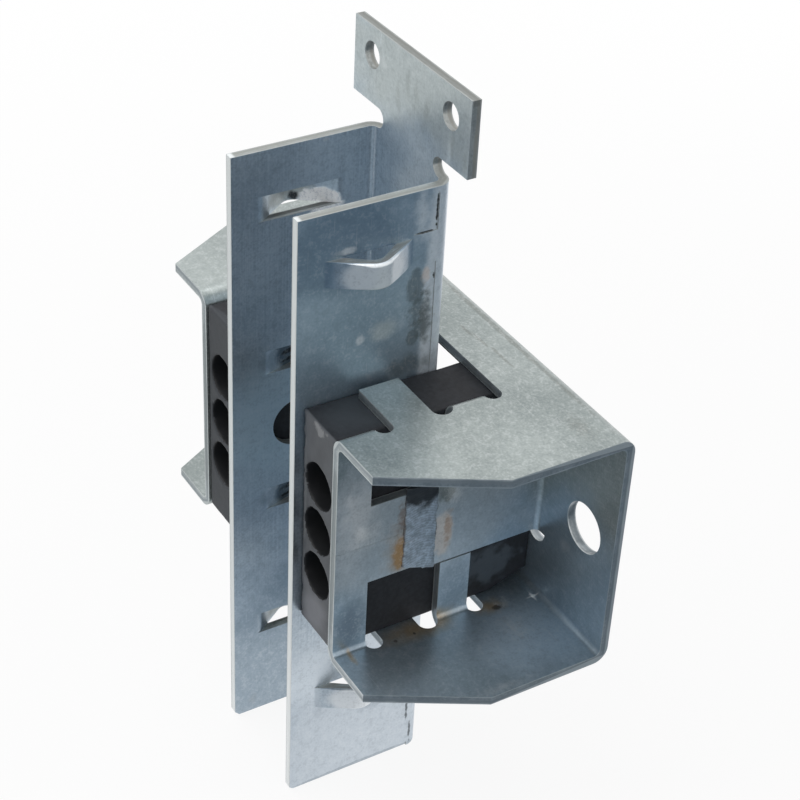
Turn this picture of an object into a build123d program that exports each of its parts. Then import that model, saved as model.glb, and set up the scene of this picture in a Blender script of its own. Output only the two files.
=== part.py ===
"""Sliding guide shoe of a lift car: a channel cushioned by rubber in a folded bracket.

Millimetres. X runs across the guide rail, +Y goes back into the mounting face, and +Z is up along
the rail. The origin lies on the bracket's mounting face, midway between its two bolt holes, so the
rail comes into the channel from -Y. Both metal pieces are folded from galvanised sheet.
"""

import os

from build123d import *

# Sheet of both folded pieces
SHEET = 3.0
BEND_R = 2.0

# Guide channel
CHANNEL_INSIDE = 37.5
CHANNEL_DEPTH = 50.5
CHANNEL_LENGTH = 220.0
CHANNEL_ABOVE = 102.0
CHANNEL_LEAD = 2.0
FOOT_CORNER = 1.6
FOOT_BEVEL_HEIGHT = 2.0
FOOT_BEVEL_DEPTH = 0.6

# Lubricator lug at the top of the channel's web
LUG_WIDTH = 63.5
LUG_HEIGHT = 24.0
LUG_SLOT = 6.3
NECK_SETBACK = 4.75
LUG_HOLE_D = 8.4
LUG_HOLE_PITCH = 43.2
LUG_HOLE_BELOW_TOP = 9.0

# Bridges lanced out of the channel's cheeks
BRIDGE_HEIGHT = 8.5
BRIDGE_LENGTH = 30.5
BRIDGE_PUSH = 9.4
BRIDGE_FROM_TOP = 19.25
BRIDGE_FROM_FOOT = 39.25
KEEPER_LENGTH = 26.0
KEEPER_PUSH = 3.5
KEEPER_SPACING = 53.5
KEEPER_RISE = 1.0
LANCE_SETBACK = 23.0
STRAP_FOOT = 1.5
FOOT_R = 3.0
APEX_R = 5.5
CHEEK_HOLE_D = 17.5

# Marks that the folding tool left beside the web bend
PRESS_MARK_WIDTH = 8.0
PRESS_MARK_DEPTH = 0.3
PRESS_MARK_GAP = 10.5
PRESS_MARK_TOP = 2.0
PRESS_MARK_LENGTH = 46.0

# Bracket
BRACKET_WIDTH = 164.0
BRACKET_HEIGHT = 85.0
BRACKET_DEPTH = 76.0
WALL_SPAN = 88.0
NOSE_WIDTH = 126.0
CHAMFER_DEPTH = 33.4
BACK_GAP = 5.5
BOLT_HOLE_D = 17.0
BOLT_FROM_END = 15.0

# Tabs and reliefs along the bracket's inner walls, from the front edge back
FRONT_TAB = 11.5
FRONT_RELIEF = 5.8
MIDDLE_RELIEF = 6.6
REAR_TAB = 11.1
REAR_RELIEF = 5.6
TONGUE_CLEARANCE = 3.2
RELIEF_PAST_BEND = 1.2

# Central band, its seams and its weld
BAND_HEIGHT = 33.0
ARMS_HEIGHT = 29.0
SEAM = 0.5
WELD_SETBACK = 30.0
WELD_GAP = 1.6
WELD_WIDTH = 10.5
WELD_CROWN = 1.8
BAND_RELIEF_R = 4.4

# Rubber blocks
RUBBER_SET_IN = 0.4
RUBBER_WALL = 2.1
RUBBER_WEB = 1.95
RUBBER_CHAMFER_DEPTH = 14.0
RUBBER_CHAMFER_HEIGHT = 5.0
POCKET_CLEARANCE = 0.3

# Places worked out from the sizes above
bend_out = BEND_R + SHEET
bracket_front = -BRACKET_DEPTH
cheek_out = CHANNEL_INSIDE / 2 + SHEET
channel_front = bracket_front - CHANNEL_LEAD
web_back = channel_front + CHANNEL_DEPTH
channel_foot = CHANNEL_ABOVE - CHANNEL_LENGTH
lance_y = channel_front + LANCE_SETBACK
upper_bridge = CHANNEL_ABOVE - BRIDGE_FROM_TOP
lower_bridge = channel_foot + BRIDGE_FROM_FOOT
upper_keeper = KEEPER_RISE + KEEPER_SPACING / 2
lower_keeper = KEEPER_RISE - KEEPER_SPACING / 2
lug_bottom = CHANNEL_ABOVE + LUG_SLOT

wall_out = WALL_SPAN / 2
wall_in = wall_out - SHEET
wall_bend = wall_out + BEND_R
flange_out = BRACKET_HEIGHT / 2
flange_in = flange_out - SHEET
front_tab_end = bracket_front + FRONT_TAB
tongue_start = front_tab_end + FRONT_RELIEF
cutout_end = web_back + BACK_GAP
rear_tab_end = cutout_end - REAR_RELIEF
rear_tab_start = rear_tab_end - REAR_TAB
tongue_end = rear_tab_start - MIDDLE_RELIEF
tongue_tip = cheek_out + TONGUE_CLEARANCE
weld_y = bracket_front + WELD_SETBACK


def block(x0, x1, y0, y1, z0, z1):
    """A box between two corners."""
    return Pos((x0 + x1) / 2, (y0 + y1) / 2, (z0 + z1) / 2) * Box(x1 - x0, y1 - y0, z1 - z0)


def mirrored(shape, plane):
    """The shape together with its mirror image."""
    return shape + mirror(shape, about=plane)


def bend(centre, direction, length, start_angle):
    """A quarter turn of sheet around the inner bend radius, extruded along a direction."""
    plane = Plane(origin=centre, x_dir=(1, 0, 0), z_dir=direction)
    ring = Circle(bend_out) - Circle(BEND_R)
    quadrant = Rot(0, 0, start_angle) * Pos(bend_out, bend_out) * Rectangle(2 * bend_out, 2 * bend_out)
    return extrude(plane * (ring & quadrant), length)


def strap(length, push):
    """A bridge's strap: sheet pushed out into a blunt roof, still joined at both ends."""
    middle = cheek_out - SHEET / 2
    end = length / 2
    ramp = end - STRAP_FOOT
    path = FilletPolyline(
        (middle, lance_y - end),
        (middle, lance_y - ramp),
        (middle + push, lance_y),
        (middle, lance_y + ramp),
        (middle, lance_y + end),
        radius=(FOOT_R, APEX_R, FOOT_R),
    )
    return Pos(0, 0, -BRIDGE_HEIGHT / 2) * extrude(trace(path, line_width=SHEET), BRIDGE_HEIGHT)


def strap_cut(length):
    """The stretch of cheek that the strap was lanced from."""
    end = length / 2
    half = BRIDGE_HEIGHT / 2
    return block(cheek_out - SHEET, cheek_out, lance_y - end, lance_y + end, -half, half)


def channel_section():
    """The folded U, from the foot to the top edge."""
    outer = block(-cheek_out, cheek_out, channel_front, web_back, channel_foot, CHANNEL_ABOVE)
    outer = fillet(outer.edges().filter_by(Axis.Z).group_by(Axis.Y)[-1], bend_out)
    inside = CHANNEL_INSIDE / 2
    hollow = block(
        -inside, inside, channel_front - SHEET, web_back - SHEET,
        channel_foot - SHEET, CHANNEL_ABOVE + SHEET,
    )
    hollow = fillet(hollow.edges().filter_by(Axis.Z).group_by(Axis.Y)[-1], BEND_R)
    return outer - hollow


def lug():
    """The web carried on upwards: a neck between round-ended slots, then the wide lug."""
    slot_r = LUG_SLOT / 2
    slot_x = CHANNEL_INSIDE / 2 - NECK_SETBACK + slot_r
    web = Rectangle(2 * slot_x, LUG_SLOT)
    web -= Pos(slot_x, 0) * Circle(slot_r)
    web -= Pos(-slot_x, 0) * Circle(slot_r)
    wings = Rectangle(LUG_WIDTH, LUG_HEIGHT)
    hole_z = LUG_HEIGHT / 2 - LUG_HOLE_BELOW_TOP
    for side in (-1, 1):
        wings -= Pos(side * LUG_HOLE_PITCH / 2, hole_z) * Circle(LUG_HOLE_D / 2)
    front = Plane(origin=(0, web_back, 0), x_dir=(1, 0, 0), z_dir=(0, -1, 0))
    neck = extrude(front * Pos(0, CHANNEL_ABOVE + slot_r) * web, SHEET)
    return neck + extrude(front * Pos(0, lug_bottom + LUG_HEIGHT / 2) * wings, SHEET)


def press_marks():
    """Shallow bands beside the web bend, broken where the upper bridge needed room."""
    end = web_back - bend_out
    start = end - PRESS_MARK_WIDTH
    face = cheek_out - PRESS_MARK_DEPTH
    top = CHANNEL_ABOVE - PRESS_MARK_TOP
    upper = block(face, cheek_out, start, end, upper_bridge + PRESS_MARK_GAP / 2, top)
    below = upper_bridge - PRESS_MARK_GAP / 2
    lower = block(face, cheek_out, start, end, below - PRESS_MARK_LENGTH, below)
    return upper + lower


def foot_bevel():
    """The rolled-over lower edge of a cheek, and its clipped front corner."""
    profile = Polyline(
        (cheek_out - FOOT_BEVEL_DEPTH, channel_foot),
        (cheek_out, channel_foot + FOOT_BEVEL_HEIGHT),
        (cheek_out + SHEET, channel_foot + FOOT_BEVEL_HEIGHT),
        (cheek_out + SHEET, channel_foot - SHEET),
        (cheek_out - FOOT_BEVEL_DEPTH, channel_foot - SHEET),
        close=True,
    )
    front = Plane(origin=(0, channel_front - SHEET, 0), x_dir=(1, 0, 0), z_dir=(0, -1, 0))
    bevel = extrude(front * make_face(profile), -(CHANNEL_DEPTH - bend_out + SHEET))
    corner = Pos(cheek_out - SHEET / 2, channel_front, channel_foot) * Rot(45, 0, 0)
    clipped = FOOT_CORNER * 2**0.5
    return bevel + corner * Box(2 * SHEET, clipped, clipped)


def guide_channel():
    """The channel that holds the liner: two lanced cheeks, the web and the lug, one folded sheet."""
    body = channel_section() + lug()
    right_cuts = foot_bevel() + press_marks()
    right_straps = []
    for length, push, heights in (
        (BRIDGE_LENGTH, BRIDGE_PUSH, (upper_bridge, lower_bridge)),
        (KEEPER_LENGTH, KEEPER_PUSH, (upper_keeper, lower_keeper)),
    ):
        for z in heights:
            right_cuts += Pos(0, 0, z) * strap_cut(length)
            right_straps.append(Pos(0, 0, z) * strap(length, push))
    body -= mirrored(right_cuts, Plane.YZ)
    for piece in right_straps:
        body += piece
        body += mirror(piece, about=Plane.YZ)
    across = Pos(0, lance_y, (upper_bridge + lower_bridge) / 2) * Rot(0, 90, 0)
    body -= across * Cylinder(CHEEK_HOLE_D / 2, 2 * (cheek_out + SHEET))
    return body


def bracket_shell():
    """Back web and both flanges as one folded section, trimmed to the flanges' clipped outline."""
    side = Plane(origin=(-BRACKET_WIDTH / 2, 0, 0), x_dir=(0, 1, 0), z_dir=(1, 0, 0))
    outer = Pos(-BRACKET_DEPTH / 2, 0) * Rectangle(BRACKET_DEPTH, BRACKET_HEIGHT)
    outer = fillet(outer.vertices().group_by(Axis.X)[-1], bend_out)
    hollow = Pos(-BRACKET_DEPTH / 2 - SHEET, 0) * Rectangle(BRACKET_DEPTH, 2 * flange_in)
    hollow = fillet(hollow.vertices().group_by(Axis.X)[-1], BEND_R)
    folded = extrude(side * (outer - hollow), BRACKET_WIDTH)
    half = BRACKET_WIDTH / 2
    nose = NOSE_WIDTH / 2
    shoulder = bracket_front + CHAMFER_DEPTH
    outline = Polyline(
        (-half, SHEET), (half, SHEET), (half, shoulder), (nose, bracket_front),
        (-nose, bracket_front), (-half, shoulder), close=True,
    )
    prism = Pos(0, 0, -flange_out) * extrude(make_face(outline), BRACKET_HEIGHT)
    return folded & prism


def relief(start, end):
    """A round-ended relief slot that stops the bend tearing, in the flange's plan."""
    radius = (end - start) / 2
    return Pos(wall_bend + RELIEF_PAST_BEND - radius, (start + end) / 2) * Circle(radius)


def flange_cutout():
    """Plan of what the right half of a flange loses: the channel's bay, beside the tongue."""
    reach = bracket_front - SHEET

    def patch(x0, x1, y0, y1):
        return Pos((x0 + x1) / 2, (y0 + y1) / 2) * Rectangle(x1 - x0, y1 - y0)

    def slot_root(start, end):
        return wall_bend + RELIEF_PAST_BEND - (end - start) / 2

    plan = patch(0, tongue_tip, reach, cutout_end)
    plan += patch(0, wall_bend, reach, front_tab_end)
    plan += patch(0, slot_root(front_tab_end, tongue_start), reach, tongue_start)
    plan += patch(0, slot_root(tongue_end, rear_tab_start), tongue_end, cutout_end)
    plan += patch(0, wall_bend, rear_tab_start, rear_tab_end)
    plan += patch(0, slot_root(rear_tab_end, cutout_end), rear_tab_end, cutout_end)
    for start, end in (
        (front_tab_end, tongue_start), (tongue_end, rear_tab_start), (rear_tab_end, cutout_end)
    ):
        plan += relief(start, end)
    return Pos(0, 0, -flange_out - SHEET) * extrude(plan, BRACKET_HEIGHT + 2 * SHEET)


def back_window():
    """The opening that the two bands leave in the back web, with reliefs beside their bends."""
    half = BAND_HEIGHT / 2
    window = Rectangle(2 * wall_bend, BAND_HEIGHT)
    for x in (-wall_out, wall_out):
        for z in (-half, half):
            window += Pos(x, z) * Circle(BAND_RELIEF_R)
    side_web = Pos(wall_bend + BAND_RELIEF_R, 0) * Rectangle(2 * BAND_RELIEF_R, BAND_HEIGHT)
    window -= side_web
    window -= mirror(side_web, about=Plane.YZ)
    front = Plane(origin=(0, SHEET, 0), x_dir=(1, 0, 0), z_dir=(0, -1, 0))
    return extrude(front * window, 3 * SHEET)


def upper_tabs():
    """Front and rear tabs that are folded down from the top flange on the right side."""
    bend_z = flange_in - BEND_R
    half_arms = ARMS_HEIGHT / 2
    arm_end = weld_y - WELD_GAP / 2
    tabs = bend((wall_bend, front_tab_end, bend_z), (0, -1, 0), FRONT_TAB, 90)
    tabs += block(wall_in, wall_out, bracket_front, front_tab_end, SEAM / 2, bend_z)
    tabs += block(wall_in, wall_out, bracket_front, arm_end, SEAM / 2, half_arms)
    tabs += bend((wall_bend, rear_tab_end, bend_z), (0, -1, 0), REAR_TAB, 90)
    rear_tab_tip = BAND_HEIGHT / 2 + SEAM
    tabs += block(wall_in, wall_out, rear_tab_start, rear_tab_end, rear_tab_tip, bend_z)
    return tabs


def band():
    """The band that runs forward from the back web to the weld on the right side."""
    bend_y = -SHEET - BEND_R
    half = BAND_HEIGHT / 2
    strip = block(wall_in, wall_out, weld_y + WELD_GAP / 2, bend_y, -half, half)
    return strip + bend((wall_bend, bend_y, -half), (0, 0, 1), BAND_HEIGHT, 90)


def bracket():
    """The mounting bracket: web, flanges, folded tabs and bands, all from one blank."""
    body = bracket_shell()
    body -= mirrored(flange_cutout(), Plane.YZ)
    body -= back_window()
    tabs = mirrored(upper_tabs(), Plane.XY)
    right = tabs + band()
    body += right
    body += mirror(right, about=Plane.YZ)
    for side in (-1, 1):
        hole = Pos(side * (BRACKET_WIDTH / 2 - BOLT_FROM_END), -SHEET / 2, 0) * Rot(90, 0, 0)
        body -= hole * Cylinder(BOLT_HOLE_D / 2, 2 * SHEET)
    return body


def weld_bead():
    """The right weld: a crowned bead over the root gap between the arms and the band."""
    half_w = WELD_WIDTH / 2
    half = ARMS_HEIGHT / 2
    straight = half - half_w / 2
    crown_r = (half_w**2 + WELD_CROWN**2) / (2 * WELD_CROWN)
    centre_x = wall_out + WELD_CROWN - crown_r
    drum = Pos(centre_x, weld_y, 0) * Cylinder(crown_r, 2 * straight)
    ends = Pos(centre_x, weld_y, straight) * Sphere(crown_r)
    cap = drum + ends + Pos(centre_x, weld_y, -straight) * Sphere(crown_r)
    reach = straight + half_w
    cap &= block(wall_out, wall_out + WELD_CROWN, weld_y - half_w, weld_y + half_w, -reach, reach)
    gap = WELD_GAP / 2
    root = block(wall_in, wall_out, weld_y - gap, weld_y + gap, -half, half)
    return cap + root


def keeper_pocket():
    """The hollow in a rubber block that a keeper of the channel sits in."""
    seat = cheek_out + POCKET_CLEARANCE
    ramp = KEEPER_LENGTH / 2 - STRAP_FOOT + 2 * POCKET_CLEARANCE
    roof_r = APEX_R + SHEET / 2 + POCKET_CLEARANCE
    outline = FilletPolyline(
        (cheek_out - SHEET, lance_y - ramp),
        (seat, lance_y - ramp),
        (seat + KEEPER_PUSH, lance_y),
        (seat, lance_y + ramp),
        (cheek_out - SHEET, lance_y + ramp),
        radius=(0, roof_r, 0),
    )
    closing = Line(outline @ 1, outline @ 0)
    half = BRIDGE_HEIGHT / 2 + POCKET_CLEARANCE
    return Pos(0, 0, -half) * extrude(make_face(Curve() + [outline, closing]), 2 * half)


def rubber_block():
    """The right cushion: three bores make it soft, and pockets clear the channel's keepers."""
    front = bracket_front + RUBBER_SET_IN
    back = -SHEET
    body = block(cheek_out, wall_in, front, back, -flange_in, flange_in)
    edge = Plane(origin=(cheek_out, back, flange_in), x_dir=(0, 1, 0), z_dir=(1, 0, 0))
    corner = make_face(
        Polyline((SHEET, SHEET), (-RUBBER_CHAMFER_DEPTH, SHEET), (-RUBBER_CHAMFER_DEPTH, 0),
                 (0, -RUBBER_CHAMFER_HEIGHT), (SHEET, -RUBBER_CHAMFER_HEIGHT), close=True)
    )
    body -= mirrored(extrude(edge * corner, wall_in - cheek_out), Plane.XY)
    bore = wall_in - cheek_out - 2 * RUBBER_WALL
    for row in (-1, 0, 1):
        middle = Pos((cheek_out + wall_in) / 2, (front + back) / 2, row * (bore + RUBBER_WEB))
        body -= middle * Rot(90, 0, 0) * Cylinder(bore / 2, back - front + 2 * SHEET)
    for z in (upper_keeper, lower_keeper):
        body -= Pos(0, 0, z) * keeper_pocket()
    return body


os.makedirs("parts", exist_ok=True)
export_step(guide_channel(), "parts/guide_channel.step")
export_step(bracket(), "parts/bracket.step")
right_weld = weld_bead()
right_rubber = rubber_block()
export_step(right_weld, "parts/right_weld_bead.step")
export_step(mirror(right_weld, about=Plane.YZ), "parts/left_weld_bead.step")
export_step(right_rubber, "parts/right_rubber_block.step")
export_step(mirror(right_rubber, about=Plane.YZ), "parts/left_rubber_block.step")
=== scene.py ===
import math

import bmesh
import bpy
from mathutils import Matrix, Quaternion, Vector, noise
from mathutils.bvhtree import BVHTree


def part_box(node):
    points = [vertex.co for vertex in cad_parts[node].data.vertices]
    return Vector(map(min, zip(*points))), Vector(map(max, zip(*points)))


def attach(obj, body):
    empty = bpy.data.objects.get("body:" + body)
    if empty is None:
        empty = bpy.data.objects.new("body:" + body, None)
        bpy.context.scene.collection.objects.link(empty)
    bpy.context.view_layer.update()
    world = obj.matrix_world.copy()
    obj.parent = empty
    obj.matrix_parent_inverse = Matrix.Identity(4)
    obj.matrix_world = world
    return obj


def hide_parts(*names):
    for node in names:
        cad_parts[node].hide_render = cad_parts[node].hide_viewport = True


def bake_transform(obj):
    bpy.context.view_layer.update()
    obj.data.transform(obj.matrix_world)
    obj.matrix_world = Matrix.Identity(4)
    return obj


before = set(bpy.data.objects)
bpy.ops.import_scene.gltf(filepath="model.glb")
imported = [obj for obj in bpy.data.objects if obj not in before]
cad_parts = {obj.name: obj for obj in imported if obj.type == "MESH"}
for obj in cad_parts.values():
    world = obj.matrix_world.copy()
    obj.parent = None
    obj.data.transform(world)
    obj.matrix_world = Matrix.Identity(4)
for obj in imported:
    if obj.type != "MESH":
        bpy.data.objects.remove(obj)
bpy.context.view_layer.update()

# The guide channel is one blank of 3 mm galvanised sheet, folded into a U with its drilled
# head left flat. Its bridges and keepers are lanced out of the cheeks before the folding.
# The rolled faces are smooth and cloudy, and the sheared edges are paler and rougher.


class Reading:
    """A socket that other sockets can be worked out from, by plain sums."""

    def __init__(self, nodes, socket):
        self.nodes = nodes
        self.socket = socket

    def sum(self, operation, first, second):
        return self.nodes.node(
            "ShaderNodeMath", {"operation": operation}, {"Value": first, "Value_001": second}
        )

    def __add__(self, other):
        return self.sum("ADD", self, other)

    def __sub__(self, other):
        return self.sum("SUBTRACT", self, other)

    def __rsub__(self, other):
        return self.sum("SUBTRACT", other, self)

    def __mul__(self, other):
        return self.sum("MULTIPLY", self, other)

    def __abs__(self):
        return self.nodes.node("ShaderNodeMath", {"operation": "ABSOLUTE"}, {"Value": self})

    __radd__ = __add__
    __rmul__ = __mul__


class Nodes:
    """The nodes of one tree."""

    def __init__(self, tree):
        self.tree = tree

    def node(self, kind, settings, sockets, out=0):
        """Adds a node with its settings, then its sockets' values or links."""
        made = self.tree.nodes.new(kind)
        for key, value in settings.items():
            setattr(made, key, value)
        for key, value in sockets.items():
            end = next(s for s in made.inputs if s.enabled and key in (s.identifier, s.name))
            if isinstance(value, Reading):
                self.tree.links.new(value.socket, end)
            elif end.type == "RGBA" and len(value) == 3:
                end.default_value = (*value, 1)
            else:
                end.default_value = value
        if not made.outputs:
            return made
        if isinstance(out, int):
            return Reading(self, made.outputs[out])
        return Reading(self, next(s for s in made.outputs if out in (s.identifier, s.name)))


class Finish(Nodes):
    """The nodes of one material, or of the room's light."""

    def __init__(self, owner):
        owner.use_nodes = True
        owner.node_tree.nodes.clear()
        self.owner = owner
        super().__init__(owner.node_tree)

    def place(self):
        """Where a point of the piece is, in metres."""
        return self.node("ShaderNodeTexCoord", {}, {}, "Object")

    def grain(self, stretch, detail=2.0, rough=0.5, turned=(0, 0, 0)):
        """Smooth noise from 0 to 1, with so many cells to the metre each way."""
        laid = self.node(
            "ShaderNodeMapping", {}, {"Vector": self.place(), "Rotation": turned, "Scale": stretch}
        )
        return self.node(
            "ShaderNodeTexNoise",
            {},
            {"Vector": laid, "Scale": 1.0, "Detail": detail, "Roughness": rough},
        )

    def between(self, reading, low, high, first=0.0, last=1.0):
        """Goes smoothly from first to last as the reading goes from low to high."""
        return self.node(
            "ShaderNodeMapRange",
            {"interpolation_type": "SMOOTHSTEP"},
            {"Value": reading, "From Min": low, "From Max": high, "To Min": first, "To Max": last},
        )

    def mixed(self, share, first, second):
        """One colour goes over to another as the share goes from 0 to 1."""
        return self.node(
            "ShaderNodeMix",
            {"data_type": "RGBA"},
            {"Factor_Float": share, "A_Color": first, "B_Color": second},
            "Result_Color",
        )

    def patch(self, middle, reach, ragged, fine, soft=0.45):
        """A mask: 1 inside a patch with that middle and reach in mm, 0 past its ragged edge."""
        near = self.node(
            "ShaderNodeMapping",
            {"vector_type": "TEXTURE"},
            {
                "Vector": self.place(),
                "Location": [v / 1000 for v in middle],
                "Scale": [v / 1000 for v in reach],
            },
        )
        far = self.node("ShaderNodeVectorMath", {"operation": "LENGTH"}, {"Vector": near}, "Value")
        edge = self.grain((fine, fine, fine), 3.0)
        return self.between(far + 2 * ragged * (edge - 0.5), 1.0, soft)

    def marked(self, colour, rough, marks):
        """Lays marks on: each is a shade, its share, its change of roughness and its spots."""
        for shade, share, rise, spots in marks:
            for spot in spots:
                mask = self.patch(*spot)
                colour = self.mixed(share * mask, colour, shade)
                rough = rough + rise * mask
        return colour, rough

    def metal(self, colour, rough, height, lift, metallic):
        """Ends the material as a metal with that colour, roughness and relief."""
        relief = self.node(
            "ShaderNodeBump", {}, {"Strength": 1.0, "Distance": lift, "Height": height}
        )
        body = self.node(
            "ShaderNodeBsdfPrincipled",
            {},
            {"Base Color": colour, "Roughness": rough, "Metallic": metallic, "Normal": relief},
        )
        self.node("ShaderNodeOutputMaterial", {}, {"Surface": body})
        return self.owner


def zinc_sheet(name, light, dark, rolling, lined, mottled, marks, metallic, torn=()):
    """Rolled galvanised sheet: faint mill lines, slow clouds of tone, frosting and marks."""
    zinc = Finish(bpy.data.materials.new(name))
    lines = zinc.grain(rolling, 2.0, 0.5)
    cloud = zinc.grain((24, 24, 24), 5.0, 0.6)
    frost = zinc.grain((1300, 1300, 1300), 2.0)
    mottle = zinc.grain((330, 330, 330), 4.0, 0.7)
    tone = lined * lines + (0.8 - lined) * cloud + 0.2 * frost
    colour = zinc.mixed(zinc.between(tone, 0.37, 0.63), dark, light)
    speck = zinc.between(zinc.grain((2400, 2400, 2400), 0.0), 0.74, 0.82)
    colour = zinc.mixed(0.35 * speck, colour, (0.80, 0.84, 0.86))
    rough = 0.24 + 0.14 * cloud
    colour, rough = zinc.marked(colour, rough, marks)
    fine = 0.65 * mottle + 0.35 * frost
    colour = zinc.mixed(mottled * zinc.between(fine, 0.5, 0.38), colour, (0.10, 0.13, 0.15))
    colour = zinc.mixed(mottled * zinc.between(fine, 0.5, 0.62), colour, (0.95, 0.98, 1.0))
    hair = zinc.between(zinc.grain((60, 2200, 60), 1.0, 0.5, (0.5, 0.2, 0.9)), 0.72, 0.78)
    colour = zinc.mixed(0.25 * hair, colour, (0.85, 0.88, 0.9))
    height = lined * lines + 0.4 * frost
    for spot in torn:
        rag = zinc.grain((900, 900, 900), 4.0, 0.7)
        mask = zinc.patch(*spot)
        bare = zinc.mixed(zinc.between(rag, 0.34, 0.54), (0.72, 0.74, 0.77), (1.0, 1.0, 1.0))
        colour = zinc.mixed(mask, colour, bare)
        metallic = metallic * (1 - 0.9 * mask)
        rough = rough + 0.3 * mask
        height = height + 9 * mask * rag
    return zinc.metal(colour, rough, height, 0.00003, metallic)


def sheared_face(name, light, dark, torn_shade, rim_wear_and_highlight, marks=()):
    """The blanked edge: a smooth cut band, a duller torn band and pale rims, worn and partly a
    painted highlight.
    """
    cut = Finish(bpy.data.materials.new(name))
    fine = cut.grain((1100, 1100, 1100), 3.0, 0.7)
    tool = cut.grain((150, 150, 150), 4.0, 0.6)
    across = cut.node("ShaderNodeUVMap", {"uv_map": "thickness"}, {}, "UV")
    across = cut.node("ShaderNodeSeparateXYZ", {}, {"Vector": across}, "Y")
    colour = cut.mixed(cut.between(0.5 * fine + 0.5 * tool, 0.4, 0.6), dark, light)
    torn = cut.between(across + 0.5 * (tool - 0.5), 0.42, 0.62)
    torn = torn * cut.between(fine, 0.3, 0.6, 0.5, 1.0)
    colour = cut.mixed(0.75 * torn, colour, torn_shade)
    colour, rough = cut.marked(colour, 0.3 + 0.15 * tool + 0.15 * torn, marks)
    # pale rims: worn, and partly a painted highlight
    rim = cut.between(abs(across - 0.5) + 0.25 * (tool - 0.5), 0.3, 0.42)
    colour = cut.mixed(0.6 * rim, colour, rim_wear_and_highlight)
    return cut.metal(colour, rough, fine + tool, 0.00006, 0.8)


def merged(node):
    """The CAD shape of that node, with the corners of its facets joined."""
    shape = bmesh.new()
    shape.from_mesh(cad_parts[node].data)
    bmesh.ops.remove_doubles(shape, verts=shape.verts, dist=1e-6)
    return shape


def placed(name, data):
    """An object of that mesh, lamp or camera, put into the scene."""
    piece = bpy.data.objects.new(name, data)
    bpy.context.scene.collection.objects.link(piece)
    return piece


def finished_sheet(node, name, rolled, sheared, rounded=None):
    """The CAD sheet again, its edges broken, its sheared faces told from its rolled ones."""
    shape = merged(node)
    # in metres: a rolled face has the sheet's 3 mm of metal straight behind it, the die
    # rounds the edges of the straps, and all other edges are only broken
    thinnest, thickest = 0.0024, 0.0036
    rounding, breaking = 0.0010, 0.00045
    tree = BVHTree.FromBMesh(shape)
    for face in shape.faces:
        middle = face.calc_center_median()
        depth = tree.ray_cast(middle - face.normal * 1e-5, -face.normal)[3]
        face.material_index = 0 if depth and thinnest < depth < thickest else 1
        face.smooth = True
    bmesh.ops.dissolve_limit(
        shape,
        angle_limit=math.radians(0.5),
        verts=shape.verts,
        edges=shape.edges,
        delimit={"MATERIAL"},
    )
    # the larger rolled side counts as the outer one; "thickness" runs across to it
    sides = []
    waiting = {face for face in shape.faces if face.material_index == 0}
    while waiting:
        side = [waiting.pop()]
        for face in side:
            for edge in face.edges:
                for beside in edge.link_faces:
                    if beside in waiting:
                        waiting.remove(beside)
                        side.append(beside)
        sides.append(side)
    outer = max(sides, key=lambda side: sum(face.calc_area() for face in side))
    rim = {point for face in outer for point in face.verts}
    across = shape.loops.layers.uv.new("thickness")
    for face in shape.faces:
        for corner in face.loops:
            corner[across].uv = (0.0, float(corner.vert in rim))
    if rounded:
        outside = set(outer)
        edges = [
            edge
            for edge in shape.edges
            if len(edge.link_faces) == 2
            and len({face.material_index for face in edge.link_faces}) == 2
            and outside.intersection(edge.link_faces)
            and all(rounded(point.co) for point in edge.verts)
        ]
        bmesh.ops.bevel(
            shape,
            geom=edges,
            offset=rounding,
            offset_type="OFFSET",
            segments=4,
            profile=0.5,
            affect="EDGES",
            material=0,
        )
        for face in shape.faces:
            face.smooth = True
    mesh = bpy.data.meshes.new(name)
    shape.to_mesh(mesh)
    shape.free()
    mesh.materials.append(rolled)
    mesh.materials.append(sheared)
    piece = placed(name, mesh)
    broken = piece.modifiers.new("broken edges", "BEVEL")
    broken.width = breaking
    broken.segments = 3
    broken.limit_method = "ANGLE"
    broken.angle_limit = math.radians(40)
    broken.material = 1
    flat = piece.modifiers.new("flat faces", "WEIGHTED_NORMAL")
    flat.weight = 60
    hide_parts(node)
    return piece


# how high the middles of the bridges and of the keepers are, in mm
bridges = (82.75, -78.75)
keepers = (27.75, -25.75)


def on_a_strap(point):
    """Whether a point is on a bridge, where the forming die rounded the edges."""
    high = any(abs(point.z - level / 1000) < 0.0055 for level in bridges)
    return high and abs(point.x) > 0.0224


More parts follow.
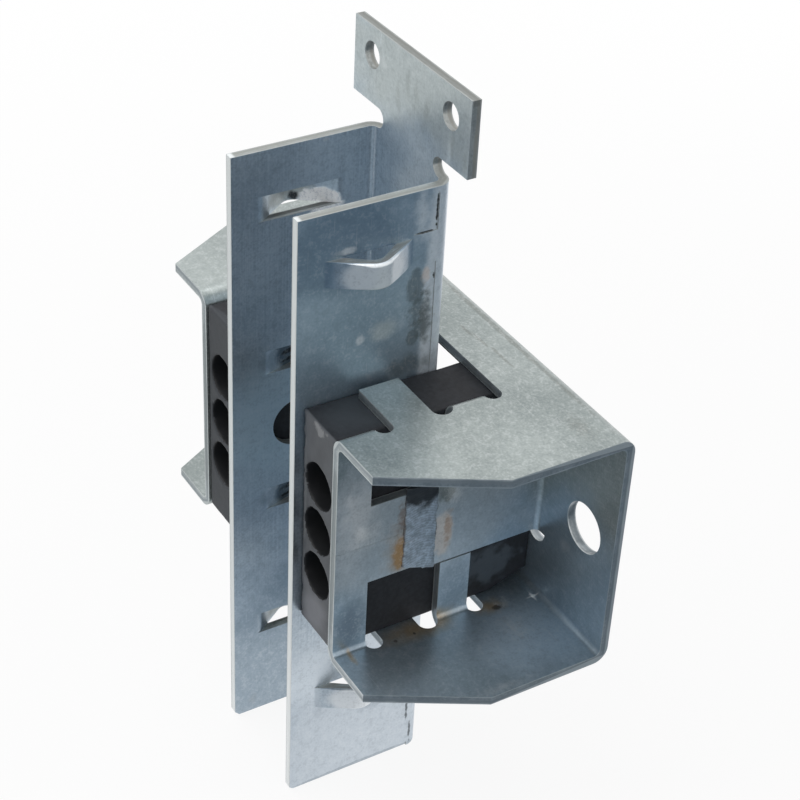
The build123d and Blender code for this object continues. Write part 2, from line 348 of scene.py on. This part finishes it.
worn = (0.74, 0.79, 0.83)
# black of soot and cracks, also used as painted shadow in the keepers, inside the left upper
# bridge and at the weld's top
soot_and_shadow_black = (0.035, 0.04, 0.045)
channel = finished_sheet(
    "guide_channel",
    "channel_sheet",
    zinc_sheet(
        "galvanised channel",
        (0.65, 0.73, 0.80),
        (0.47, 0.55, 0.62),
        (1800, 1800, 16),
        0.22,
        0.13,
        [
            # the bridges' outer faces, polished by the die and painted paler for the light they
            # catch from above
            (
                (0.90, 0.93, 0.95),
                0.85,
                0.16,
                [((33, -55, z), (11, 26, 8), 0.1, 120, 0.75) for z in bridges],
            ),
            # the left bridges' inner faces, duller
            (
                (0.46, 0.48, 0.46),
                0.8,
                0.16,
                [((-26, -58, z), (7, 13, 6), 0.2, 300, 0.5) for z in bridges],
            ),
            # painted dark reflection on the right cheek above the bracket
            ((0.34, 0.46, 0.56), 0.8, 0.12, [((21.75, -58, 66), (2, 46, 80), 0.3, 40, 0.6)]),
            ((0.24, 0.34, 0.43), 0.55, 0.0, [((21.75, -60, 56), (2, 26, 24), 0.3, 60, 0.3)]),
            ((0.22, 0.31, 0.40), 0.8, 0.0, [((21.75, -64, 90), (2, 26, 20), 0.3, 60, 0.5)]),
            # a painted highlight along the bend, worn beside the upper press mark, darker at the
            # foot's front
            ((0.68, 0.74, 0.79), 0.8, 0.2, [((21.75, -32.0, 42), (3, 5.5, 90), 0.15, 300, 0.6)]),
            ((0.46, 0.54, 0.62), 0.6, 0.0, [((21.75, -78, -92), (1, 8, 44), 0.2, 200, 0.1)]),
            (worn, 0.6, 0.16, [((21.75, -37.5, 94), (1, 4.2, 12), 0.4, 400, 0.2)]),
            # painted reflection: the right foot and the cheek above it paler, the left cheek's
            # inside darker below; the left cheek's inside paler in the middle
            ((0.62, 0.68, 0.74), 0.85, 0.1, [((21.75, -54, -104), (2, 40, 44), 0.3, 40, 0.5)]),
            ((0.80, 0.87, 0.93), 0.8, 0.1, [((21.75, -58, -66), (2, 40, 20), 0.3, 40, 0.4)]),
            ((0.31, 0.385, 0.455), 0.85, 0.0, [((-18.75, -60, -92), (2, 40, 52), 0.3, 40, 0.4)]),
            ((0.78, 0.94, 1.0), 0.6, 0.0, [((-18.75, -60, 4), (2, 40, 36), 0.3, 40, 0.3)]),
            # the head greyer, a painted reflection, and the neck under it paler
            ((0.53, 0.57, 0.56), 0.7, 0.06, [((0, -30.5, 124), (60, 4, 24), 0.5, 60, 0.4)]),
            (
                (0.74, 0.82, 0.88),
                0.35,
                0.1,
                [
                    ((2, -30.5, 108), (24, 4, 12), 0.4, 80, 0.2),
                    ((4, -30.5, 86), (14, 4, 24), 0.4, 80, 0.2),
                ],
            ),
            # short upright smears on the head
            (
                (0.36, 0.40, 0.40),
                0.5,
                0.05,
                [
                    ((x, -30.5, z), (2, 1, 6), 0.7, 300, 0.0)
                    for x, z in (
                        (-1.2, 122.7),
                        (3.3, 122.5),
                        (9.1, 119.6),
                        (-6.2, 116.7),
                        (23.1, 115.3),
                        (30.3, 112.6),
                        (-22.3, 121.3),
                    )
                ],
            ),
            # a dark smear along the lower press mark, a pale pinkish spot at its top
            (
                (0.13, 0.16, 0.17),
                0.6,
                0.05,
                [
                    ((21.75, -38.9, 70), (1.2, 3.6, 8.5), 0.35, 500, 0.6),
                    ((21.75, -37.6, 62), (1.2, 4.8, 8), 0.7, 500, 0.3),
                    ((21.75, -36.4, 56), (1.2, 5.0, 6), 0.6, 500, 0.3),
                    ((21.75, -39.0, 53.0), (1.2, 2.6, 3.6), 0.2, 500, 0.7),
                    ((21.75, -35.0, 59), (1.2, 3.0, 13), 0.5, 500, 0.4),
                    ((21.75, -40, 43.5), (1.5, 12, 5), 0.6, 260, 0.1),
                ],
            ),
            ((0.66, 0.62, 0.60), 0.85, 0.15, [((21.75, -35.6, 73.5), (1, 2.0, 3.4), 0.4, 500)]),
            # the press marks' black broken edge, and the same crack again near the foot
            (
                soot_and_shadow_black,
                0.95,
                0.2,
                [
                    ((21.5, -32.9, 95), (1.2, 0.45, 8), 1.0, 700),
                    ((21.5, -36.5, 88.1), (1.2, 3.8, 0.35), 0.6, 700),
                    ((21.75, -32.8, 72.6), (1, 0.5, 1.1), 0.9, 700),
                ],
            ),
            (
                soot_and_shadow_black,
                0.7,
                0.2,
                [
                    ((21.75, -33.2, -101), (1, 0.6, 6), 1.2, 500),
                    ((21.75, -31.6, -111), (1, 0.6, 5), 1.2, 500),
                ],
            ),
            # finger smudges, dull lines near the foot and pale spots
            ((0.60, 0.63, 0.57), 0.35, 0.18, [((21.75, -49, 59), (1, 7, 5), 0.5, 200, 0.2)]),
            ((0.34, 0.40, 0.45), 0.6, 0.0, [((21.75, -52, -117.4), (2, 30, 1.7), 0.3, 500, 0.6)]),
            (
                (0.44, 0.50, 0.56),
                0.6,
                0.0,
                [
                    ((21.75, -67, -85), (2, 3, 6), 0.9, 300, 0.0),
                    ((21.75, -48, -92), (2, 8, 3), 0.9, 300, 0.0),
                ],
            ),
            (
                worn,
                0.6,
                0.12,
                [
                    ((21.75, -57, 57.5), (1, 2, 2), 0.4, 400),
                    ((21.75, -61.5, 88.6), (1, 3, 1.6), 0.5, 300),
                ],
            ),
            # painted shade in the recesses of the left keepers, a painted shadow line under each
            # top cut, black torn lines, and a painted shadow spot inside the left upper bridge
            (
                (0.30, 0.36, 0.42),
                0.85,
                0.05,
                [((-20.5, -65, z), (3.0, 7, 6), 0.1, 200, 0.5) for z in keepers],
            ),
            (
                (0.11, 0.145, 0.18),
                0.9,
                0.1,
                [((-22.5, -55, z), (3.4, 15, 8), 0.1, 200, 0.7) for z in keepers],
            ),
            (
                soot_and_shadow_black,
                0.95,
                0.2,
                [((-21.5, -57, z + 3.6), (3, 10, 1.0), 0.5, 500, 0.5) for z in keepers]
                + [((-22.0, -54, z + 0.4), (2.5, 9, 1.3), 0.5, 500) for z in keepers]
                + [((-22.0, -55, z - 2.6), (2.5, 10, 0.8), 0.9, 600) for z in keepers]
                + [((-26.5, -53.5, 80), (3, 2.0, 2.0), 0.4, 500)],
            ),
            # a small chip at the left cheek's top and a scratch on the head
            (
                worn,
                0.8,
                0.1,
                [
                    ((-18.75, -47, 101), (0.6, 1.6, 0.7), 0.9, 900),
                    ((-17.1, -30.5, 130), (0.3, 1, 2.4), 0.4, 900),
                ],
            ),
            # dull spots near the feet of both cheeks
            (
                (0.36, 0.42, 0.47),
                0.6,
                0.1,
                [
                    ((21.75, -64, -80), (1, 2.5, 3), 0.8, 400),
                    ((-18.75, -71, -113), (1, 2, 3), 0.8, 400),
                ],
            ),
        ],
        0.88,
        # metal torn by the die inside the left upper bridge
        [((-22.5, -46, 78.9), (6.5, 8, 4.8), 0.22, 500, 0.8)],
    ),
    sheared_face(
        "channel sheared edge",
        (0.50, 0.52, 0.51),
        (0.36, 0.38, 0.37),
        (0.32, 0.31, 0.28),
        (0.50, 0.53, 0.53),
        [
            # dull along the top, bright along the front
            ((0.31, 0.33, 0.32), 0.6, 0.1, [((0, -50, 102), (90, 90, 2.5), 0.3, 300, 0.6)]),
            ((0.22, 0.23, 0.22), 0.8, 0.1, [((0, -29, 132.3), (90, 30, 2.5), 0.3, 300, 0.6)]),
            ((0.84, 0.87, 0.88), 0.85, 0.05, [((0, -78, -8), (60, 2.2, 400), 0.3, 200, 0.6)]),
            # painted shade on the lower side of the left upper bridge's slot
            ((0.13, 0.14, 0.14), 0.85, 0.1, [((-20.3, -54, 78.5), (2.4, 16, 1.2), 0.2, 300, 0.6)]),
            # the drilled holes of the head, with painted shade in their upper walls
            (
                (0.16, 0.18, 0.19),
                0.8,
                0.1,
                [((x, -29, 125.6), (5.5, 4, 4.2), 0.5, 300, 0.4) for x in (-22.6, 20.6)],
            ),
        ],
    ),
    on_a_strap,
)
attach(channel, "channel")

# The bracket is a second blank of the same sheet. Its ends fold forward into walls and meet
# their arms at a seam on each side, and its flanges fold over the top and the bottom.

rust = (0.46, 0.34, 0.19)
bracket = finished_sheet(
    "bracket",
    "bracket_sheet",
    zinc_sheet(
        "galvanised bracket",
        (0.43, 0.475, 0.465),
        (0.305, 0.345, 0.34),
        (14, 1500, 1500),
        0.04,
        0.15,
        [
            # the inside is bluer than the weathered top
            ((0.39, 0.50, 0.60), 0.75, 0.0, [((66, -36, -39), (46, 80, 66), 0.2, 40, 0.7)]),
            ((0.64, 0.78, 0.91), 0.75, 0.1, [((62, -18, -39.5), (24, 26, 3), 0.3, 60, 0.3)]),
            # the left end of the top flange is duller
            ((0.36, 0.40, 0.395), 0.7, 0.0, [((-64, -38, 42.5), (24, 44, 2), 0.3, 60, 0.3)]),
            # the right arm and band are paler
            ((0.56, 0.60, 0.62), 0.7, 0.08, [((44, -50, 6), (1.6, 60, 40), 0.4, 60, 0.5)]),
            # heat tint and rust beside the weld, and painted shade above it
            ((0.46, 0.38, 0.30), 0.7, 0.1, [((44, -54, -6), (2, 8, 16), 0.5, 300, 0.0)]),
            ((0.50, 0.31, 0.14), 0.9, 0.12, [((44, -53.6, -7.5), (2, 3.4, 8.5), 0.5, 400, 0.4)]),
            ((0.26, 0.19, 0.15), 0.7, 0.1, [((44, -53.2, 5), (2, 2.4, 8), 0.8, 600, 0.2)]),
            ((0.74, 0.70, 0.66), 0.9, 0.2, [((44, -38.6, -5.5), (2, 4.6, 10.5), 0.4, 400, 0.6)]),
            ((0.44, 0.32, 0.24), 0.7, 0.1, [((44, -36.8, -4), (2, 2.0, 9), 0.9, 500, 0.2)]),
            # painted shade under the top flange, above and behind the weld
            ((0.20, 0.22, 0.20), 0.75, 0.1, [((44, -38, 11), (2, 4.5, 6), 0.6, 500, 0.4)]),
            # the frosted arm, the dull tabs under it
            ((0.64, 0.68, 0.70), 0.7, 0.1, [((44, -72, 4), (2, 9, 28), 0.3, 200, 0.2)]),
            ((0.28, 0.34, 0.39), 0.7, 0.0, [((44, -33, -28), (3, 8, 13), 0.2, 120, 0.4)]),
            ((0.74, 0.76, 0.77), 0.55, 0.16, [((44, -68, 15), (2, 10, 20), 0.7, 300, 0.0)]),
            (
                (0.84, 0.86, 0.86),
                0.35,
                0.2,
                [
                    ((44, -66, 4), (2, 7, 6), 1.6, 1500, 0.0),
                    ((44, -35, 9), (2, 4, 6), 1.4, 1500, 0.0),
                ],
            ),
            ((0.22, 0.27, 0.32), 0.9, 0.0, [((44, -70, -30), (3, 8, 16), 0.3, 120, 0.2)]),
            # brown below the band and the tabs, with darker spots in it
            (
                rust,
                0.85,
                0.12,
                [
                    ((45.5, -46, -38.5), (7, 20, 5), 0.3, 200, 0.1),
                    ((47, -21, -39.5), (5, 8, 3), 0.3, 300, 0.0),
                    ((46.5, -71, -39.5), (6.0, 1.4, 2.5), 0.5, 400, 0.0),
                ],
            ),
            (
                (0.07, 0.06, 0.055),
                0.8,
                0.1,
                [
                    ((47.2, -55.3, -39.5), (1, 0.8, 1), 0.6, 600),
                    ((46.8, -48.5, -39.5), (0.8, 0.6, 1), 0.6, 600),
                    ((48.5, -18.7, -39.5), (1.4, 2, 1), 0.7, 500),
                ],
            ),
            # pale runs, and a star of spatter in the back corner, painted bright as a highlight
            (
                (0.74, 0.79, 0.82),
                0.5,
                0.1,
                [
                    ((59.5, -19.5, -39.5), (8, 5, 1), 1.0, 600, -0.3),
                    ((46.5, -15.5, -38.5), (3.5, 4, 3), 1.5, 900, 0.0),
                    ((80, -38, -39.5), (3, 14, 1), 1.0, 700, -0.3),
                ],
            ),
            (
                (0.90, 0.93, 0.95),
                0.9,
                0.2,
                [
                    ((49.4, -5.9, -39.4), (1.4, 1.1, 1.2), 0.9, 1200),
                    ((49.4, -5.9, -39.4), (0.5, 3.4, 1.2), 0.3, 600),
                    ((49.4, -5.9, -39.4), (3.2, 0.5, 1.2), 0.3, 600),
                ],
            ),
            # dark smears and a speckled patch on the weathered top, and painted shade along its
            # back bend
            (
                (0.22, 0.23, 0.21),
                0.5,
                0.1,
                [
                    ((13.5, -13.6, 42.5), (5, 0.9, 1), 0.8, 400),
                    ((19, -12.6, 42.5), (6, 0.7, 1), 0.8, 400),
                    ((30, -11.8, 42.5), (8, 0.8, 1), 0.9, 400),
                    ((70, -11.5, 42.5), (9, 4.5, 1), 0.9, 800, -0.2),
                    # painted shade along the top flange's back bend
                    ((20, -4.5, 42), (60, 1.3, 2), 0.5, 200),
                ],
            ),
        ],
        0.78,
    ),
    sheared_face(
        "bracket sheared edge",
        (0.46, 0.50, 0.52),
        (0.34, 0.38, 0.40),
        (0.30, 0.34, 0.37),
        (0.74, 0.78, 0.78),
        [
            # dull front edges of the walls, and painted shade in the bolt holes
            (
                (0.27, 0.30, 0.31),
                0.8,
                0.1,
                [((s * 42.5, -76, 0), (2.5, 2, 36), 0.2, 200, 0.8) for s in (1, -1)],
            ),
            (
                (0.20, 0.23, 0.25),
                0.8,
                0.1,
                [((s * 67, -1.5, 0), (12, 4, 12), 0.6, 300, 0.5) for s in (1, -1)],
            ),
        ],
    ),
)
# pressed almost shut, the 0.5 mm seams between the arms show as hairlines
for point in bracket.data.vertices:
    if abs(point.co.z) < 0.0004:
        point.co.z *= 0.15
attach(bracket, "bracket")

# A weld bead closes each seam where the arm meets the band. It is laid from the top down in
# one pass, so its ripples lie over each other like scales.


def weld_scales():
    """A row of flattened drops along Z, each a little off the last in size and turn."""
    tree = bpy.data.node_groups.new("weld scales", "GeometryNodeTree")
    tree.interface.new_socket("Geometry", in_out="OUTPUT", socket_type="NodeSocketGeometry")
    named = {}
    count, half_height = 40, 0.0032
    for name, kind, value in (
        ("Scales", "NodeSocketInt", count),
        ("Length", "NodeSocketFloat", 0.0325),
        ("Width", "NodeSocketFloat", 0.0100),
        ("Crown", "NodeSocketFloat", 0.0016),
        ("Seed", "NodeSocketInt", 4),
        ("Metal", "NodeSocketMaterial", None),
    ):
        named[name] = tree.interface.new_socket(name, in_out="INPUT", socket_type=kind)
        if value is not None:
            named[name].default_value = value
    laying = Nodes(tree)
    source = tree.nodes.new("NodeGroupInput")
    given = {name: Reading(laying, source.outputs[name]) for name in named}
    start = laying.node("ShaderNodeCombineXYZ", {}, {"Z": given["Length"] * -0.5})
    step = laying.node("ShaderNodeCombineXYZ", {}, {"Z": given["Length"] * (1 / (count - 1))})
    row = laying.node(
        "GeometryNodeMeshLine",
        {},
        {"Count": given["Scales"], "Start Location": start, "Offset": step},
    )
    drop = laying.node("GeometryNodeMeshIcoSphere", {}, {"Radius": 1.0, "Subdivisions": 4}, "Mesh")
    size = laying.node(
        "ShaderNodeCombineXYZ",
        {},
        {"X": given["Crown"], "Y": given["Width"] * 0.5, "Z": half_height},
    )
    vary = laying.node(
        "FunctionNodeRandomValue",
        {"data_type": "FLOAT_VECTOR"},
        {"Min": (0.93, 0.93, 0.9), "Max": (1.04, 1.03, 1.2), "Seed": given["Seed"]},
    )
    grown = laying.node(
        "ShaderNodeVectorMath", {"operation": "MULTIPLY"}, {"Vector": size, "Vector_001": vary}
    )
    turn = laying.node(
        "FunctionNodeRandomValue",
        {"data_type": "FLOAT_VECTOR"},
        {"Min": (-0.06, 0.06, -0.02), "Max": (0.06, 0.16, 0.02), "Seed": given["Seed"]},
    )
    laid = laying.node(
        "GeometryNodeInstanceOnPoints",
        {},
        {"Points": row, "Instance": drop, "Rotation": turn, "Scale": grown},
    )
    real = laying.node("GeometryNodeRealizeInstances", {}, {"Geometry": laid})
    coat = laying.node(
        "GeometryNodeSetMaterial", {}, {"Geometry": real, "Material": given["Metal"]}
    )
    laying.node("NodeGroupOutput", {}, {"Geometry": coat})
    return tree, named


def as_built(piece):
    """The mesh that a piece's modifiers make of it. They are taken off the piece."""
    built = bpy.data.meshes.new_from_object(
        piece.evaluated_get(bpy.context.evaluated_depsgraph_get())
    )
    piece.modifiers.clear()
    built.materials.clear()
    return built


# how far the middle of a bead lies in front of the bracket's back face
bead_forward = 0.0469
bead_metal = Finish(bpy.data.materials.new("weld metal"))
mottle = bead_metal.grain((420, 420, 420), 4.0, 0.7)
beside, along = (
    bead_metal.node("ShaderNodeSeparateXYZ", {}, {"Vector": bead_metal.place()}, way)
    for way in ("Y", "Z")
)
beside = beside + bead_forward
ripple = bead_metal.node(
    "ShaderNodeMath",
    {"operation": "SINE"},
    {"Value": 6400 * (along + 90 * beside * beside) + 14 * mottle},
)
bead_colour = bead_metal.mixed(
    bead_metal.between(0.8 * mottle + 0.045 * ripple, 0.26, 0.56),
    (0.34, 0.39, 0.44),
    (0.62, 0.70, 0.78),
)
bead_colour, bead_rough = bead_metal.marked(
    bead_colour,
    0.36 + 0.2 * mottle,
    [
        # soot where the arc was struck, with painted shadow under the top flange over it, a dull
        # foot, dark undercut along both sides
        (soot_and_shadow_black, 0.95, 0.1, [((s * 44, -47, 18), (8, 11, 11), 0.45, 300, 0.6) for s in (1, -1)]),
        (
            (0.24, 0.25, 0.27),
            0.6,
            0.1,
            [((s * 44, -46, -17.5), (8, 8, 4), 0.5, 300, 0.2) for s in (1, -1)],
        ),
        (
            (0.15, 0.11, 0.08),
            0.75,
            0.1,
            [
                ((s * 44, y, 0), (3, 0.7, 19), 0.7, 420, 0.3)
                for s in (1, -1)
                for y in (-52.8, -41.0)
            ],
        ),
    ],
)
bead_metal.metal(bead_colour, bead_rough, 0.25 * ripple + 1.5 * mottle, 0.00004, 0.8)

scales, inputs = weld_scales()
for side, name, seed in ((1, "right_weld_bead", 4), (-1, "left_weld_bead", 9)):
    bead = placed(name + "_metal", bpy.data.meshes.new(name + "_metal"))
    growth = bead.modifiers.new("scales", "NODES")
    growth.node_group = scales
    growth[inputs["Metal"].identifier] = bead_metal.owner
    growth[inputs["Seed"].identifier] = seed
    skin = bead.modifiers.new("skin", "REMESH")
    skin.mode = "VOXEL"
    skin.voxel_size = 0.00022
    built = as_built(bead)
    # in metres: the bead stands 1.8 mm off the wall at the most, its sides waver, and its foot
    # slants down to the back
    wall, crown, half_width, wider = 0.044, 0.0018, 0.00525, 1.16
    lowest, highest = -0.0172, 0.0171
    for point in built.vertices:
        x, y, z = point.co
        y += 0.0004 * noise.noise(Vector((side, 0, z * 220)))
        y = wider * max(-half_width, min(half_width, y))
        foot = max(lowest, -0.0142 - 0.36 * y - 24 * y * y)
        z = max(foot, min(highest, z))
        point.co = (side * (wall + max(0.0, min(crown, x))), y - bead_forward, z)
    if side < 0:
        built.flip_normals()
    for face in built.polygons:
        face.use_smooth = True
    built.materials.append(bead_metal.owner)
    bead.data = built
    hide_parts(name)
    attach(bead, "bracket")

# A block of hard black rubber fills each side between the cheek and the wall. It is moulded
# with three bores along it, cut a little rough at the front, and held by its fit alone.

rubber = Finish(bpy.data.materials.new("cushion rubber"))
skin_grain = rubber.grain((700, 700, 700), 4.0, 0.6)
scuff = rubber.grain((120, 60, 60), 4.0, 0.6)
depth = rubber.node("ShaderNodeSeparateXYZ", {}, {"Vector": rubber.place()}, "Y")
# the cut front face is paler: dust, and partly a painted sheen
front = rubber.between(depth, -0.0742, -0.0750)
dust_and_sheen = front * rubber.between(scuff, 0.25, 0.75, 0.6, 1.0)
rubber_colour = rubber.mixed(
    rubber.between(skin_grain, 0.3, 0.7), (0.009, 0.010, 0.013), (0.018, 0.020, 0.025)
)
rubber_colour = rubber.mixed(dust_and_sheen, rubber_colour, (0.098, 0.106, 0.118))
rubber_colour, rubber_rough = rubber.marked(
    rubber_colour,
    0.52 + 0.2 * scuff,
    [
        # the left front, darker; the right front's paler foot, its pale torn streak and scuffs;
        # greyer faces on top and behind the window
        ((0.042, 0.047, 0.055), 0.95, 0.0, [((-31, -75.6, 0), (14, 4, 60), 0.2, 120, 0.8)]),
        ((0.2, 0.21, 0.235), 0.7, 0.0, [((31, -75.6, -32), (12, 2, 14), 0.4, 120, 0.2)]),
        ((0.30, 0.31, 0.32), 0.6, 0.1, [((32, -75.6, 37.5), (4.5, 1.2, 2.4), 1.1, 380)]),
        (
            (0.16, 0.17, 0.18),
            0.5,
            0.1,
            [
                ((24, -75.6, 12), (1.2, 1, 26), 0.9, 300),
                ((-38, -75.6, 4), (1, 1, 1), 0.5, 500),
            ],
        ),
        ((0.05, 0.06, 0.07), 0.7, 0.0, [((31, -60, 39.5), (14, 20, 2), 0.3, 120, 0.3)]),
        ((0.08, 0.10, 0.12), 0.7, -0.1, [((41, -20, -28), (1.5, 14, 9), 0.9, 200)]),
    ],
)
relief = rubber.node(
    "ShaderNodeBump", {}, {"Strength": 1.0, "Distance": 0.00007, "Height": skin_grain + scuff}
)
rubber_body = rubber.node(
    "ShaderNodeBsdfPrincipled",
    {},
    {
        "Base Color": rubber_colour,
        "Roughness": rubber_rough,
        "Normal": relief,
        "Specular IOR Level": 0.4,
    },
)
rubber.node("ShaderNodeOutputMaterial", {}, {"Surface": rubber_body})

# the bores' insides get a darker copy of the rubber, a painted shade
bore = Finish(bpy.data.materials.new("rubber bore painted shade"))
bore_shade = bore.node(
    "ShaderNodeBsdfPrincipled", {}, {"Base Color": (0.006, 0.007, 0.009), "Roughness": 0.6}
)
bore.node("ShaderNodeOutputMaterial", {}, {"Surface": bore_shade})

# where the blocks' front, their cheek side and their bores lie, in metres
block_front = -0.0756
cheek_side = 0.02175
bores_out = 0.031375
bores_up = (-0.017, 0.0, 0.017)
bore_wall = 0.0079

for side, name in ((1, "right_rubber_block"), (-1, "left_rubber_block")):
    shape = merged(name)
    mesh = bpy.data.meshes.new(name + "_moulding")
    shape.to_mesh(mesh)
    shape.free()
    block = placed(name + "_moulding", mesh)
    skin = block.modifiers.new("skin", "REMESH")
    skin.mode = "VOXEL"
    skin.voxel_size = 0.00075
    built = as_built(block)
    built.materials.append(rubber.owner)
    built.materials.append(bore.owner)
    away = [tuple(v.normal) for v in built.vertices]
    low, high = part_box(name)
    for point, normal in zip(built.vertices, away):
        # the skin is uneven inward by up to 0.35 mm, its front rims are torn
        push = 0.5 + 0.5 * noise.noise(point.co * 90)
        push = 0.00025 * push + 0.0001 * (0.5 + 0.5 * noise.noise(point.co * 400))
        point.co -= Vector(normal) * push
        x, y, z = point.co
        rim = max(0.0, 1 - (y - block_front) / 0.003)
        beside = max(0.0, 1 - (abs(x) - cheek_side) / 0.002)
        torn = noise.noise(Vector((side * 3, 0, z * 160)))
        torn += noise.noise(Vector((5, side, z * 420)))
        y += rim * beside * 0.0009 * max(0.0, 0.5 + torn)
        for middle in bores_up:
            out = Vector((abs(x) - bores_out, z - middle))
            if out.length < bore_wall + 0.0003:
                ragged = noise.noise(Vector((out.x * 400, out.y * 400, side + middle * 90)))
                x += side * out.x * rim * 0.05 * ragged
                z += out.y * rim * 0.05 * ragged
        point.co = [max(a, min(b, c)) for a, b, c in zip(low, high, (x, y, z))]
    for face in built.polygons:
        face.use_smooth = True
        x, y, z = face.center
        # faces inside the bores, behind the front, take the painted shade
        bored = any(math.hypot(abs(x) - bores_out, z - up) < bore_wall for up in bores_up)
        face.material_index = int(bored and y > block_front + 0.0007)
    block.data = built
    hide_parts(name)
    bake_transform(block)

# The shoe stands on a white table under one wide soft lamp. A dark card behind it to the
# right and a grey one before it to the left, out of sight, show only in the metal.


def sheet_on_table(name, near, far, height):
    """A flat sheet from one corner to the other, at that height in metres."""
    mesh = bpy.data.meshes.new(name)
    (a, b), (c, d) = near, far
    corners = [(a, b, height), (c, b, height), (c, d, height), (a, d, height)]
    mesh.from_pydata(corners, [], [(0, 1, 2, 3)])
    piece = placed(name, mesh)
    finish = Finish(bpy.data.materials.new(name))
    mesh.materials.append(finish.owner)
    out = finish.node(
        "ShaderNodeVectorMath", {"operation": "LENGTH"}, {"Vector": finish.place()}, "Value"
    )
    return piece, finish, out


def seen_directly(finish):
    """1 for what the camera sees itself, in metal or through glass, 0 for the light it gives."""
    path = finish.tree.nodes.new("ShaderNodeLightPath")
    ways = [
        Reading(finish, path.outputs[name])
        for name in ("Is Camera Ray", "Is Glossy Ray", "Is Transmission Ray")
    ]
    return ways[0] + ways[1] + ways[2]


# the cards lie half a millimetre above the table
table_level, card_level = -0.118, -0.1175
_, paper, out = sheet_on_table("table", (-2, -2), (2, 2), table_level)
glow = paper.node("ShaderNodeEmission", {}, {"Color": (1, 1, 1), "Strength": 1.0})
matt = paper.node("ShaderNodeBsdfDiffuse", {}, {"Color": (0.9, 0.9, 0.9)})
share = paper.between(out, 0.2, 0.7, 0.9, 1.0) * seen_directly(paper)
laid = paper.node("ShaderNodeMixShader", {}, {"Fac": share, "Shader": matt, "Shader_001": glow})
paper.node("ShaderNodeOutputMaterial", {}, {"Surface": laid})

for name, near, far, shade, low, high in (
    ("dark card", (0.02, -0.9), (1.6, 1.6), (0.07, 0.12, 0.17), 0.13, 0.2),
    ("grey card", (-1.6, -1.6), (-0.03, 0.2), (0.72, 0.74, 0.73), 0.08, 0.25),
):
    card, felt, out = sheet_on_table(name, near, far, card_level)
    card.visible_camera = card.visible_diffuse = card.visible_shadow = False
    card.visible_transmission = False
    clear = felt.node("ShaderNodeBsdfTransparent", {}, {})
    dark = felt.node("ShaderNodeEmission", {}, {"Color": shade, "Strength": 1.0})
    faded = felt.node(
        "ShaderNodeMixShader",
        {},
        {"Fac": felt.between(out, low, high), "Shader": clear, "Shader_001": dark},
    )
    felt.node("ShaderNodeOutputMaterial", {}, {"Surface": faded})

room = bpy.data.worlds.new("room")
bpy.context.scene.world = room
air = Finish(room)
sky = air.node(
    "ShaderNodeBackground", {}, {"Color": (1, 1, 1), "Strength": 0.55 + 0.45 * seen_directly(air)}
)
air.node("ShaderNodeOutputWorld", {}, {"Surface": sky})

lamp = placed("softbox", bpy.data.lights.new("softbox", "AREA"))
lamp.data.shape = "RECTANGLE"
lamp.data.size = 1.1
lamp.data.size_y = 0.9
lamp.data.energy = 6.0
lamp.location = (-0.35, -0.3, 1.0)
lamp.rotation_mode = "QUATERNION"
lamp.rotation_quaternion = (-lamp.location).to_track_quat("-Z", "Y")

# The camera stands to the right of the shoe, in front of it and above it, where the
# photograph was taken from, and is turned a little about its line of sight.

camera = placed("camera", bpy.data.cameras.new("camera"))
camera.location = (0.421238, -0.296071, 0.364611)
camera.rotation_mode = "QUATERNION"
line_of_sight = Vector((-0.690268, 0.438518, -0.575528))
roll = Quaternion((0, 0, 1), math.radians(3.02))
camera.rotation_quaternion = line_of_sight.to_track_quat("-Z", "Y") @ roll
camera.data.lens = 86.853
camera.data.clip_start = 0.05
bpy.context.scene.camera = camera
bpy.context.scene.view_settings.view_transform = "Standard"
